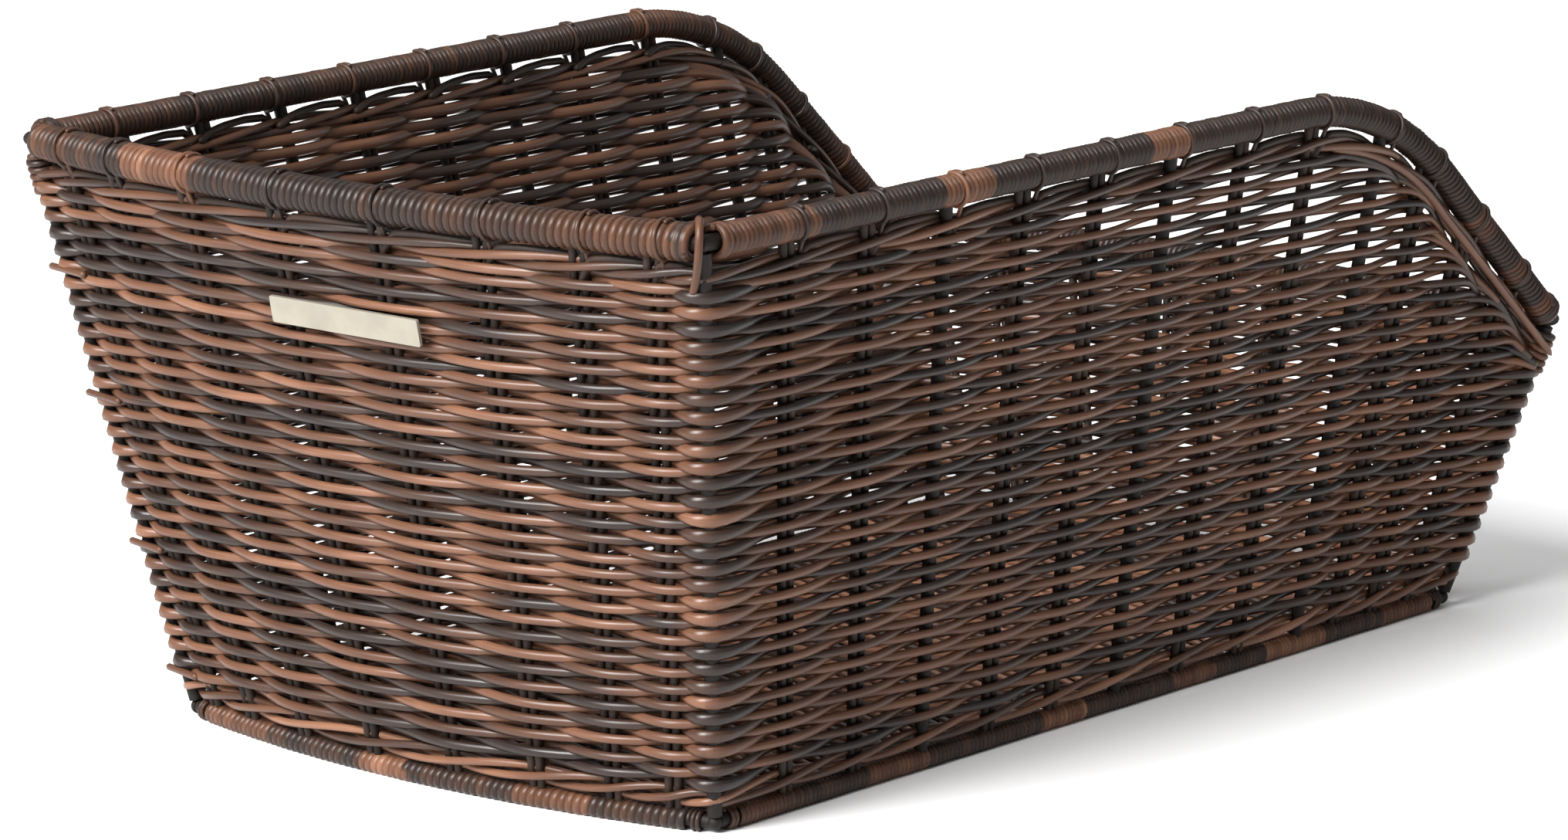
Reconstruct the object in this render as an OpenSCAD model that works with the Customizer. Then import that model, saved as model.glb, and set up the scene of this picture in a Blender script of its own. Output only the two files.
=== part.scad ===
// Woven bicycle carrier basket: a steel wire frame with a wrapped rim and a
// wrapped base ring, upright stakes, and four woven walls round a woven floor.
// The front is cut low, and the rim runs down to it in a slope on each side.
// +X is the low front, +Z is up. The origin is under the middle of the basket,
// on the surface that it stands on.

/* [Overall size] */
// Length of the base ring, between its rod centres
base_length = 435; // [350:1:540]
// Width of the base ring, between its rod centres
base_width = 257; // [210:1:320]
// Height of the rim's level part over the base ring, centre to centre
rim_height = 217; // [180:1:265]
// How far the rear wall leans out, from the base ring to the rim
rear_lean = 43; // [20:1:60]
// How far each side wall leans out at its rear end
side_lean = 35; // [15:1:50]
// How far the front wall leans out
front_lean = 14; // [5:1:35]
// How far each side wall leans out at its front end
lip_side_lean = 40; // [15:1:50]
// How far the middle of the rear wall bows out
rear_bow = 17; // [8:1:25]
// How far the middle of the front wall bows out
front_bow = 12; // [6:1:20]

/* [Low front] */
// Height of the front lip over the base ring, centre to centre
lip_height = 115; // [95:1:135]
// Slope of the side rim where it runs down to the lip, in degrees
slope_angle = 43; // [36:1:50]
// Radius of the bend at the top of the slope
slope_bend = 130; // [90:1:150]

/* [Steel frame] */
// Diameter of the rim rod
rim_rod_d = 6; // [4:0.5:7]
// Diameter of the base ring's rod and its cross bars
base_rod_d = 5; // [4:0.5:5.5]
// Diameter of the four corner posts
post_d = 5.5; // [4:0.5:6]
// Diameter of the upright side rods
side_rod_d = 5; // [3.5:0.5:6]
// Number of cross bars under the floor
cross_bars = 3; // [2:1:5]

/* [Wrapping] */
// Thickness of the wrapping on the side and front rims
rim_wrap_t = 2.9; // [2.2:0.1:3.5]
// Thickness of the wrapping on the rear rim
rear_wrap_t = 3.8; // [2.2:0.1:4.5]
// Thickness of the wrapping on the base ring
base_wrap_t = 1.8; // [1.5:0.1:2.5]
// Flat worn under the base ring, where it stands
foot_flat = 0.4; // [0.2:0.1:0.8]

/* [Weave] */
// Diameter of one rod of a stake, which is a pair of rods
stake_d = 3.4; // [2.6:0.1:4]
// Thickness of a woven wall
wall_t = 9; // [8:0.5:12]
// Thickness of the twisted border strands along the wall's two edges
border_t = 10.5; // [9:0.5:13]
// Height of the border strands' band
border_h = 9; // [6:0.5:12]
// Gap between the rim's wrapping and the border under it
rim_gap = 5; // [3:0.5:8]
// Diameter of the strand that ties the rim down
lash_d = 2.2; // [1.6:0.1:2.6]
// Thickness of the woven floor
floor_t = 8; // [7.6:0.1:8.1]

/* [Stakes] */
// Wide bays between the stakes of a side wall, from the rear corner
wide_bays = 9; // [6:1:10]
// Close bays between the stakes of a side wall, up to the front corner
close_bays = 4; // [2:1:5]
// Share of a side wall's length that the wide bays take
wide_share = 0.776; // [0.7:0.001:0.85]
// Number of stakes in the rear wall and in the front wall
end_stakes = 8; // [6:2:8]

/* [Badge] */
// Width of the plain plate on the rear wall
badge_w = 72; // [50:1:90]
// Height of the plate
badge_h = 10; // [8:0.5:14]
// Thickness of the plate
badge_t = 1.2; // [0.8:0.1:2]
// How far the plate sits to the right of the middle
badge_side = 8; // [0:1:20]
// How far the plate's middle is below the rim rod's centre
badge_drop = 43; // [36:1:60]

/* [Hidden] */

$fn = 32;
clear = 0.15;              // running gap between neighbouring pieces
touch = 0.05;              // gap at a weld, between the end of a rod and the next

// The walls, in order round the basket, seen from above
RIGHT = 0;
FRONT = 1;
LEFT = 2;
REAR = 3;

rim_r = rim_rod_d/2;
base_r = base_rod_d/2;
base_weld_r = 1.15*base_r; // beads that join the base ring's rods
rim_wrap_r = rim_r + rim_wrap_t;
rear_wrap_r = rim_r + rear_wrap_t;
base_wrap_r = base_r + base_wrap_t;

// Half sizes of the base ring and of the rim
base_x = base_length/2;
base_y = base_width/2;
rear_x = base_x + rear_lean;
rear_y = base_y + side_lean;
lip_x = base_x + front_lean;
lip_y = base_y + lip_side_lean;

// The side rim in its own upright plane: level, a bend, then the slope
rim_run = norm([lip_y - rear_y, lip_x + rear_x]);
bend_run = slope_bend*sin(slope_angle);
bend_drop = slope_bend*(1 - cos(slope_angle));
slope_drop = rim_height - lip_height - bend_drop;
slope_run = slope_drop/tan(slope_angle);
level_run = rim_run - bend_run - slope_run;

// The whole basket is moved so that it stands centred over the origin
lash_r = lash_d/2;
rear_reach = rear_x + rear_bow + rear_wrap_r;
front_reach = lip_x + front_bow + rim_wrap_r;
centre_x = (rear_reach - front_reach)/2;
foot_z = base_wrap_r - foot_flat;

// The floor's bars lie low in the base ring, and its stakes lie on them
bar_r = 0.68*base_r;
bar_z = bar_r - base_r;
floor_rod_r = 1.2;
floor_rod_z = bar_z + bar_r + 2*clear + floor_rod_r;
floor_rows = 9;            // lengthwise stakes in the floor

wall_u = 16;               // strips along a wall
wall_w = 1;                // strips up a wall, whose face is straight that way

// ---- Shape of the rim and the walls ----

// Sideways reach of a bowed line at y: bow in the middle, 0 at the ends
function arc_r(half, bow) = (half*half + bow*bow)/(2*bow);
function sag(y, half, bow) =
    let (r = arc_r(half, bow))
    sqrt(r*r - y*y) - (r - bow);

// Height of the side rim, run millimetres from the rear corner
function rim_drop(run) =
    run < level_run ? 0
    : run < level_run + bend_run
        ? slope_bend - sqrt(pow(slope_bend, 2) - pow(run - level_run, 2))
        : bend_drop + (run - level_run - bend_run)*tan(slope_angle);

// Slope of the side rim there, in degrees
function rim_slope(run) =
    run < level_run ? 0
    : run < level_run + bend_run ? asin((run - level_run)/slope_bend)
    : slope_angle;

function lerp(a, b, t) = a + (b - a)*t;

function side_top(f) = [
    -rear_x + f*(lip_x + rear_x),
    -rear_y - f*(lip_y - rear_y),
    rim_height - rim_drop(f*rim_run)
];
function side_base(f) = [-base_x + f*base_length, -base_y, 0];
function flip_y(p) = [p[0], -p[1], p[2]];

// Top and bottom of wall k at the share f of its way round
function wall_top(k, f) =
    k == RIGHT ? side_top(f)
    : k == LEFT ? flip_y(side_top(1 - f))
    : k == FRONT
        ? let (y = (2*f - 1)*lip_y) [lip_x + sag(y, lip_y, front_bow), y, lip_height]
        : let (y = (1 - 2*f)*rear_y) [-rear_x - sag(y, rear_y, rear_bow), y, rim_height];
function wall_base(k, f) =
    k == RIGHT ? side_base(f)
    : k == LEFT ? flip_y(side_base(1 - f))
    : k == FRONT
        ? let (y = (2*f - 1)*base_y) [base_x + sag(y, base_y, front_bow), y, 0]
        : let (y = (1 - 2*f)*base_y) [-base_x - sag(y, base_y, rear_bow), y, 0];
function wall_mid(k, f, w) = lerp(wall_base(k, f), wall_top(k, f), w);

// Outward direction of wall k in plan
function unit(v) = v/norm(v);
function outward(k, f, w) =
    let (e = 0.002,
         a = wall_mid(k, max(f - e, 0), w),
         b = wall_mid(k, min(f + e, 1), w),
         t = unit([b[0] - a[0], b[1] - a[1]]))
    [t[1], -t[0], 0];

// The direction in which the wall's thickness is measured: it is shared by two
// walls where they meet at a corner, so that they meet in a mitre
function thick_dir(k, f, w) =
    f > 0 && f < 1 ? outward(k, f, w)
    : let (n = outward(k, f, w),
           m = f == 0 ? outward((k + 3) % 4, 1, w) : outward((k + 1) % 4, 0, w),
           d = unit(n + m))
      d/(d*n);

// Height shares at which the edges of the bands lie
function top_slope(k, f) =
    k == RIGHT ? rim_slope(f*rim_run)
    : k == LEFT ? rim_slope((1 - f)*rim_run)
    : 0;
function wrap_r(k) = k == REAR ? rear_wrap_r : rim_wrap_r;
function share_up(k, f, z) = z/wall_top(k, f)[2];
function share_down(k, f, d) =
    1 - d/(cos(top_slope(k, f))*wall_top(k, f)[2]);

lower_border_z = base_wrap_r + clear;
weave_low_z = lower_border_z + border_h + clear;
upper_border_top = rear_wrap_r + rim_gap;
weave_high_d = upper_border_top + border_h + clear;

// A band of wall k: z above the base ring or d below the rim give its edges,
// and t is its thickness
function edge(k, f, e) = e[0] == "up" ? share_up(k, f, e[1]) : share_down(k, f, e[1]);
function band_point(k, i, j, low, high, off) =
    let (f = i/wall_u,
         w = lerp(edge(k, f, low), edge(k, f, high), j/wall_w),
         n = thick_dir(k, f, w),
         p = wall_mid(k, f, w),
         q = wall_mid(k, f < 0.5 ? f + 0.01 : f - 0.01, w),
         t = unit([q[0] - p[0], q[1] - p[1], 0]),
         trim = (i == 0 || i == wall_u) ? clear : 0)
    p + n*off + t*trim;

module band(k, low, high, t) {
    across = wall_w + 1;
    side = (wall_u + 1)*across;
    points = [
        for (off = [t/2, -t/2]) for (i = [0:wall_u]) for (j = [0:wall_w])
            band_point(k, i, j, low, high, off)
    ];
    function at(s, i, j) = s*side + i*across + j;
    function quad(a, b, c, d) = [[a, b, c], [a, c, d]];
    faces = [
        for (i = [0:wall_u - 1]) for (j = [0:wall_w - 1]) each concat(
            quad(at(0, i, j), at(0, i, j + 1), at(0, i + 1, j + 1), at(0, i + 1, j)),
            quad(at(1, i, j), at(1, i + 1, j), at(1, i + 1, j + 1), at(1, i, j + 1))),
        for (i = [0:wall_u - 1]) each concat(
            quad(at(0, i, 0), at(0, i + 1, 0), at(1, i + 1, 0), at(1, i, 0)),
            quad(at(0, i, wall_w), at(1, i, wall_w),
                 at(1, i + 1, wall_w), at(0, i + 1, wall_w))),
        for (j = [0:wall_w - 1]) each concat(
            quad(at(0, 0, j), at(1, 0, j), at(1, 0, j + 1), at(0, 0, j + 1)),
            quad(at(0, wall_u, j), at(0, wall_u, j + 1),
                 at(1, wall_u, j + 1), at(1, wall_u, j)))
    ];
    polyhedron(points, faces, convexity = 4);
}

// ---- Rods and stakes ----

// A bar from p to q: round, or with flat sides that keep r clear of its axis
module rod(p, q, r, sides = 0) {
    d = q - p;
    translate(p)
        rotate([0, acos(d[2]/norm(d)), atan2(d[1], d[0])])
            if (sides == 0) cylinder(h = norm(d), r = r);
            else cylinder(h = norm(d), r = r/cos(180/sides), $fn = sides);
}

// Where the stakes stand: shares of the way along a wall
function side_marks() = concat(
    [for (i = [1:wide_bays]) i*wide_share/wide_bays],
    [for (i = [1:close_bays - 1]) wide_share + i*(1 - wide_share)/close_bays]);
function is_rod(i) = (i + 1) % 3 == 0 && i < wide_bays;
function end_marks() =
    [for (i = [0:end_stakes - 1]) 0.5 + 0.5*sin(90*(2*i + 1 - end_stakes)/(end_stakes + 2.2))];

// Every mark of wall k as [share, true where a steel rod stands]
function marks(k) =
    k == RIGHT ? [for (i = [0:len(side_marks()) - 1]) [side_marks()[i], is_rod(i)]]
    : k == LEFT ? [for (i = [0:len(side_marks()) - 1]) [1 - side_marks()[i], is_rod(i)]]
    : [for (f = end_marks()) [f, false]];

// Share of wall k's way that a length of it takes
function as_share(k, d) = d/(k == RIGHT || k == LEFT ? base_length : base_width);

module stake_rod(k, f, r, extra, sides) {
    low = share_up(k, f, base_wrap_r + 2*clear - extra);
    high = share_down(k, f, wrap_r(k) + 2*clear - extra);
    rod(wall_mid(k, f, low), wall_mid(k, f, high), r, sides);
}

// The rattan stakes of wall k: pairs of thin rods
module stakes(k, grow = 0, extra = 0, sides = 0) {
    half_gap = as_share(k, (stake_d + clear)/2);
    for (m = marks(k))
        if (!m[1])
            for (s = [-1, 1])
                stake_rod(k, m[0] + s*half_gap, stake_d/2 + grow, extra, sides);
}

// A steel rod or post, from the base ring's rod to the rim rod. Its channel
// runs on through both.
module full_rod(k, f, r, sides) {
    whole = sides > 0;
    low = whole ? 0 : share_up(k, f, base_weld_r + touch);
    high = whole ? 1 : share_down(k, f, rim_r + touch);
    rod(wall_mid(k, f, low), wall_mid(k, f, high), r, sides);
}

module side_rods(k, grow = 0, sides = 0) {
    for (m = marks(k))
        if (m[1])
            full_rod(k, m[0], side_rod_d/2 + grow, sides);
}

module post(k, grow = 0, sides = 0) {
    full_rod(k, 0, post_d/2 + grow, sides);
}

// ---- Tubes along the rim and the base ring ----

// A bar of radius r along the bowed line of the end walls, facing +X
module bowed_bar(half, bow, r, trim = 0) {
    big = arc_r(half, bow);
    a = asin(half/big) - trim/big*180/PI;
    translate([bow - big, 0, 0])
        rotate(-a)
            rotate_extrude(angle = 2*a, $fn = 40)
                translate([big, 0])
                    circle(r);
}

// The same for wall k, in the base ring
module end_base(k, r, trim = 0) {
    if (k == FRONT)
        translate([base_x, 0, 0]) bowed_bar(base_y, front_bow, r, trim);
    else
        mirror([1, 0, 0])
            translate([base_x, 0, 0]) bowed_bar(base_y, rear_bow, r, trim);
}

// Shares along the rim's run over wall k at which its tube has a ring: the
// ends, and points round the bend or along the bow
bend_steps = 10;
bow_steps = 10;
function side_shares(trim) = concat(
    [trim/rim_run],
    [for (i = [0:bend_steps])
        (level_run + slope_bend*sin(slope_angle*i/bend_steps))/rim_run],
    [1 - trim*cos(slope_angle)/rim_run]);
function run_shares(k, trim) =
    k == RIGHT ? side_shares(trim)
    : k == LEFT
        ? let (s = side_shares(trim)) [for (i = [len(s) - 1:-1:0]) 1 - s[i]]
        : let (e = trim/run_length(k)) [for (i = [0:bow_steps]) lerp(e, 1 - e, i/bow_steps)];
function run_points(k, trim) = [for (f = run_shares(k, trim)) wall_top(k, f)];

// A tube of radius r through points, with a mitre where it turns
module tube(points, r, closed = false) {
    sides = 16;
    n = len(points);
    function way(i, j) = unit(points[(j + n) % n] - points[(i + n) % n]);
    function ring(i) =
        let (ahead = closed || i < n - 1 ? way(i, i + 1) : way(i - 1, i),
             behind = closed || i > 0 ? way(i - 1, i) : ahead,
             t = unit(ahead + behind),
             across = unit(cross([0, 0, 1], t)),
             up = cross(t, across),
             mitre = 1/(t*ahead))
        [for (j = [0:sides - 1])
            let (a = 360*(j + 0.5)/sides)
            points[i] + r*cos(a)*up + r*mitre*sin(a)*across];
    function at(i, j) = (i % n)*sides + j % sides;
    last = closed ? n : n - 1;
    faces = [
        for (i = [0:last - 1]) for (j = [0:sides - 1]) each [
            [at(i, j), at(i + 1, j + 1), at(i + 1, j)],
            [at(i, j), at(i, j + 1), at(i + 1, j + 1)]],
        if (!closed) [for (j = [sides - 1:-1:0]) at(0, j)],
        if (!closed) [for (j = [0:sides - 1]) at(last, j)]
    ];
    polyhedron([for (i = [0:n - 1]) each ring(i)], faces, convexity = 6);
}

module rim_run_of(k, r, trim = 0) {
    tube(run_points(k, trim), r);
}

module side_base_bar(k, r, trim = 0) {
    translate([-base_x + trim, k == LEFT ? base_y : -base_y, 0])
        rotate([0, 90, 0])
            cylinder(h = base_length - 2*trim, r = r);
}

module base_run_of(k, r, trim = 0) {
    if (k == RIGHT || k == LEFT) side_base_bar(k, r, trim);
    else end_base(k, r, trim);
}

// ---- Steel frame ----

module base_weld(k, grow = 0) {
    translate(wall_base(k, 0)) sphere(base_weld_r + grow);
}

// The rim rod: one closed loop over the four walls
function rim_loop() = [
    for (k = [0:3])
        let (p = run_points(k, 0))
        for (i = [0:len(p) - 2]) p[i]
];

module rim_frame() {
    color("DimGray") tube(rim_loop(), rim_r, closed = true);
}

module base_frame() {
    color("DimGray")
        for (k = [0:3]) {
            base_run_of(k, base_r);
            base_weld(k);
        }
}

// Cross bars inside the floor, welded between the base ring's two long sides
module floor_bars(grow = 0) {
    for (i = [1:cross_bars])
        translate([-base_x + i*base_length/(cross_bars + 1), 0, bar_z])
            rotate([90, 0, 0])
                cylinder(h = base_width, r = bar_r + grow, center = true);
}

module cross_bar_set() {
    color("DimGray")
        difference() {
            floor_bars();
            base_run_of(RIGHT, base_r);
            base_run_of(LEFT, base_r);
            for (s = [-1, 1])
                translate([0, s*(base_y + base_r), 0])
                    cube([base_length, 2*base_r, 4*base_r], center = true);
        }
}

module corner_post(k) {
    color("DimGray") post(k);
}

module side_rod_set(k) {
    color("DimGray") side_rods(k);
}

// ---- Stakes and weave ----

module stake_set(k) {
    color("SaddleBrown") stakes(k);
}

// The channels that the uprights of wall k take through the weave
module channels(k) {
    sides = 6;
    stakes(k, clear, base_wrap_r, sides);
    if (k == RIGHT || k == LEFT) side_rods(k, clear, sides);
    post(k, clear, sides);
    post((k + 1) % 4, clear, sides);
}

module wall_band(k, low, high, t) {
    difference() {
        band(k, low, high, t);
        channels(k);
    }
}

module weave(k) {
    color("Sienna")
        wall_band(k, ["up", weave_low_z], ["down", weave_high_d], wall_t);
}

module lower_border(k) {
    color("Peru")
        wall_band(k, ["up", lower_border_z], ["up", lower_border_z + border_h], border_t);
}

module upper_border(k) {
    color("Peru")
        wall_band(k, ["down", upper_border_top + border_h], ["down", upper_border_top],
                  border_t);
}

// ---- Floor ----

// Outline of the floor, inside the base ring by the gap in
module floor_outline(in) {
    for_arc = 12;
    polygon(concat(
        [for (i = [-for_arc:for_arc])
            let (y = i/for_arc*(base_y - in))
            [base_x + sag(y, base_y, front_bow) - in, y]],
        [for (i = [for_arc:-1:-for_arc])
            let (y = i/for_arc*(base_y - in))
            [-base_x - sag(y, base_y, rear_bow) + in, y]]));
}

// Lengthwise rattan stakes of the floor, over the cross bars
module floor_rods(grow = 0) {
    gap = base_width/(floor_rows + 1);
    for (i = [1:floor_rows])
        translate([-base_x + base_wrap_r, i*gap - base_y, floor_rod_z])
            rotate([0, 90, 0])
                cylinder(h = base_length - 2*base_wrap_r, r = floor_rod_r + grow);
}

module floor_stake_set() {
    color("SaddleBrown") floor_rods();
}

module weave_floor() {
    color("Sienna")
        difference() {
            translate([0, 0, -foot_z + clear])
                linear_extrude(floor_t)
                    floor_outline(max(base_wrap_r, border_t/2) + clear);
            floor_bars(clear);
            floor_rods(clear);
        }
}

// ---- Wrapping ----

// How far the wrapping stops short of a corner, past the knot's turn
corner_gap = 10;

module rim_wrap(k) {
    color(k == REAR ? "SaddleBrown" : "Sienna")
        difference() {
            rim_run_of(k, wrap_r(k), corner_gap);
            rim_run_of(k, rim_r + clear, corner_gap - 1);
            if (k == RIGHT || k == LEFT) side_rods(k, clear, 6);
            for (f = lash_marks(k)) lash_seat(k, f);
        }
}

module base_wrap(k) {
    color("SaddleBrown")
        difference() {
            base_run_of(k, base_wrap_r, corner_gap);
            base_run_of(k, base_r + clear, corner_gap - 1);
            if (k == RIGHT || k == LEFT) side_rods(k, clear, 6);
            floor_bars(clear);
            foot_cut();
        }
}

// Everything under the surface that the basket stands on
module foot_cut() {
    big = 2*base_length;
    translate([-big/2, -big/2, -foot_z - 20]) cube([big, big, 20]);
}

// ---- Ties ----

lash_sunk = 0.5;           // depth of a lashing's centre line in the wrapping

// Places of the lashings of wall k, each beside a stake
function lash_marks(k) =
    [for (m = marks(k)) m[0] + as_share(k, 1.5*stake_d + lash_r + 3*clear)];
function run_length(k) =
    k == RIGHT || k == LEFT ? lip_x + rear_x : k == REAR ? 2*rear_y : 2*lip_y;
function rim_tangent(k, f) = unit(wall_top(k, min(f + 0.001, 1)) - wall_top(k, f - 0.001));

// Children turned to stand across the rim of wall k at the share f
module across_rim(k, f) {
    t = rim_tangent(k, f);
    translate(wall_top(k, f))
        rotate([0, acos(t[2]), atan2(t[1], t[0])])
            children();
}

// A lashing: a ring of strand round the rim, half sunk into its wrapping, and
// its tail, which runs from the ring down to the upper border
module lashing(k, f) {
    across_rim(k, f)
        rotate_extrude()
            translate([wrap_r(k) - lash_sunk, 0])
                circle(lash_r);
    tail_r = 0.85*lash_r;
    tail_gap = wrap_r(k) - lash_sunk + lash_r + clear/2;
    rod(wall_mid(k, f, share_down(k, f, upper_border_top - clear)),
        wall_mid(k, f, share_down(k, f, tail_gap)),
        tail_r);
}

// The groove that a lashing takes in the wrapping
module lash_seat(k, f) {
    wide = 2*(lash_r + clear);
    across_rim(k, f)
        difference() {
            cylinder(h = wide, r = wrap_r(k) + lash_d, center = true);
            cylinder(h = 2*wide, r = wrap_r(k) - lash_sunk - lash_r - clear, center = true);
        }
}

module lashings(k) {
    color("Sienna")
        for (f = lash_marks(k)) lashing(k, f);
}

// Turns of strand that end the wrapping on both sides of the rim's corner
// between walls k - 1 and k
knot_at = 8;               // how far a turn stands from its corner
function end_share(k, f) = knot_at*cos(top_slope(k, f))/run_length(k);
module knot_turn(k, f, tube_r) {
    across_rim(k, f)
        rotate_extrude()
            translate([rim_r + clear + tube_r, 0])
                circle(tube_r);
}

module corner_tie(k) {
    before = (k + 3) % 4;
    tube_r = (rim_wrap_t - 2*clear)/2;
    color("Peru") {
        knot_turn(k, end_share(k, 0), tube_r);
        knot_turn(before, 1 - end_share(before, 1), tube_r);
    }
}

// The same on the base ring
module base_knot(k, f) {
    t = unit(wall_base(k, f + 0.001) - wall_base(k, f - 0.001));
    tube_r = (foot_z - base_r - clear)/2;
    translate(wall_base(k, f))
        rotate([0, 90, atan2(t[1], t[0])])
            rotate_extrude()
                translate([base_r + clear/2 + tube_r, 0])
                    circle(tube_r);
}

module base_corner_ties() {
    color("Peru")
        for (k = [0:3]) {
            f = knot_at/norm(wall_base(k, 1) - wall_base(k, 0));
            base_knot(k, f);
            base_knot(k, 1 - f);
        }
}

// ---- Badge ----

badge_share = 1 - badge_drop/rim_height;
badge_mid = wall_mid(REAR, 0.5 + badge_side/(2*rear_y), badge_share);
badge_lean = atan2(rear_lean, rim_height);
badge_stand = 0.4;         // gap behind the plate's middle
pin_d = 2;

module on_badge() {
    translate(badge_mid)
        rotate([0, -90 - badge_lean, 0])
            translate([0, 0, wall_t/2 + badge_stand])
                children();
}

module badge_plate() {
    round_r = 0.8;
    color("Ivory")
        on_badge()
            difference() {
                linear_extrude(badge_t)
                    offset(round_r)
                        square([badge_h - 2*round_r, badge_w - 2*round_r], center = true);
                badge_pin_pair(clear/2);
            }
}

module badge_pin_pair(grow = 0) {
    for (s = [-1, 1])
        translate([0, s*(badge_w/2 - 6), -badge_stand + clear])
            cylinder(h = badge_t/2 + badge_stand - clear, d = pin_d + 2*grow);
}

module badge_pins() {
    color("Silver") on_badge() badge_pin_pair();
}

// ---- Assembly ----

// Moves a piece from the base ring's centre to its place over the origin
module place() {
    translate([centre_x, 0, foot_z]) children();
}

place() rim_frame();
place() base_frame();
place() cross_bar_set();  // cross_bars
place() corner_post(RIGHT);  // post_rear_right
place() corner_post(FRONT);  // post_front_right
place() corner_post(LEFT);  // post_front_left
place() corner_post(REAR);  // post_rear_left
place() side_rod_set(RIGHT);  // side_rods_right
place() side_rod_set(LEFT);  // side_rods_left
place() stake_set(RIGHT);  // stakes_right
place() stake_set(FRONT);  // stakes_front
place() stake_set(LEFT);  // stakes_left
place() stake_set(REAR);  // stakes_rear
place() floor_stake_set();  // floor_stakes
place() weave(RIGHT);  // weave_right
place() weave(FRONT);  // weave_front
place() weave(LEFT);  // weave_left
place() weave(REAR);  // weave_rear
place() weave_floor();
place() lower_border(RIGHT);  // lower_border_right
place() lower_border(FRONT);  // lower_border_front
place() lower_border(LEFT);  // lower_border_left
place() lower_border(REAR);  // lower_border_rear
place() upper_border(RIGHT);  // upper_border_right
place() upper_border(FRONT);  // upper_border_front
place() upper_border(LEFT);  // upper_border_left
place() upper_border(REAR);  // upper_border_rear
place() rim_wrap(RIGHT);  // rim_wrap_right
place() rim_wrap(FRONT);  // rim_wrap_front
place() rim_wrap(LEFT);  // rim_wrap_left
place() rim_wrap(REAR);  // rim_wrap_rear
place() base_wrap(RIGHT);  // base_wrap_right
place() base_wrap(FRONT);  // base_wrap_front
place() base_wrap(LEFT);  // base_wrap_left
place() base_wrap(REAR);  // base_wrap_rear
place() lashings(RIGHT);  // lashings_right
place() lashings(FRONT);  // lashings_front
place() lashings(LEFT);  // lashings_left
place() lashings(REAR);  // lashings_rear
place() corner_tie(RIGHT);  // corner_tie_rear_right
place() corner_tie(FRONT);  // corner_tie_front_right
place() corner_tie(LEFT);  // corner_tie_front_left
place() corner_tie(REAR);  // corner_tie_rear_left
place() base_corner_ties();
place() badge_plate();
place() badge_pins();
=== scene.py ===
import math

import bpy
import numpy as np
from mathutils import Matrix, Vector


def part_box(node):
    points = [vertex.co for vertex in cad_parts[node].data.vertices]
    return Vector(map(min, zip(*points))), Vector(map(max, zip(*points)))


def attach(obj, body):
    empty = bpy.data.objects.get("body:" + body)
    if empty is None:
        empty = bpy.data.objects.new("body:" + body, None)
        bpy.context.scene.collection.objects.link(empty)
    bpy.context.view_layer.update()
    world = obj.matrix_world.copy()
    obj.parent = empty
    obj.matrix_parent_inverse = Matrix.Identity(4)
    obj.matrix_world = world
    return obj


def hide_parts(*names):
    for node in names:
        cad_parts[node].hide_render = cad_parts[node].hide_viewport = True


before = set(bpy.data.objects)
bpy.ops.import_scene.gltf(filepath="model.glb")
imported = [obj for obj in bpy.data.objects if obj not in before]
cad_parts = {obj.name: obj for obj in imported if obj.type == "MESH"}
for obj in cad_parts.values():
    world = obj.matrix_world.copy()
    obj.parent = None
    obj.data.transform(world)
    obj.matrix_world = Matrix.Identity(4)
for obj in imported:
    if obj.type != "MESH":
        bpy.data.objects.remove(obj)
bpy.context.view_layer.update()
rng = np.random.default_rng(11)

# ---- Sizes, in millimetres from the middle of the base ring ----
# Those that the CAD boxes give are read from them.
BASE_R, RIM_R, REAR_R = 4.3, 5.9, 6.8          # outside radii of the wrappings
CORNER_GAP = 10.0                              # where a wrapping stops, short of its corner


def mm(node):
    """A CAD node's box in millimetres."""
    low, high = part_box(node)
    return np.array(low)*1000, np.array(high)*1000


low, high = mm("base_wrap_right")
BASE_Y = -(low[1] + high[1])/2
BASE_X = (high[0] - low[0])/2 + CORNER_GAP
CENTRE_X = (high[0] + low[0])/2                # the middle of the base ring, in the frame
RING_Z = high[2] - BASE_R
low, high = mm("rim_wrap_rear")
RIM_H = (low[2] + high[2])/2 - RING_Z
low, high = mm("rim_wrap_front")
LIP_H = (low[2] + high[2])/2 - RING_Z

# How far the rim stands outside the base ring, how far its ends bow out, and the sides' slope
# with the radius of the bend above it
REAR_LEAN, SIDE_LEAN, FRONT_LEAN, LIP_SIDE_LEAN = 43.0, 35.0, 14.0, 40.0
REAR_BOW, FRONT_BOW = 17.0, 12.0
SLOPE, BEND = math.radians(43), 130.0
REAR_X, REAR_Y = BASE_X + REAR_LEAN, BASE_Y + SIDE_LEAN
LIP_X, LIP_Y = BASE_X + FRONT_LEAN, BASE_Y + LIP_SIDE_LEAN

# A side rim's length as seen from above, and those of its level, bent and sloping parts
RIM_RUN = math.hypot(LIP_X + REAR_X, LIP_Y - REAR_Y)
BEND_RUN = BEND*math.sin(SLOPE)
BEND_DROP = BEND*(1 - math.cos(SLOPE))
SLOPE_RUN = (RIM_H - LIP_H - BEND_DROP)/math.tan(SLOPE)
LEVEL_RUN = RIM_RUN - BEND_RUN - SLOPE_RUN

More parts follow.
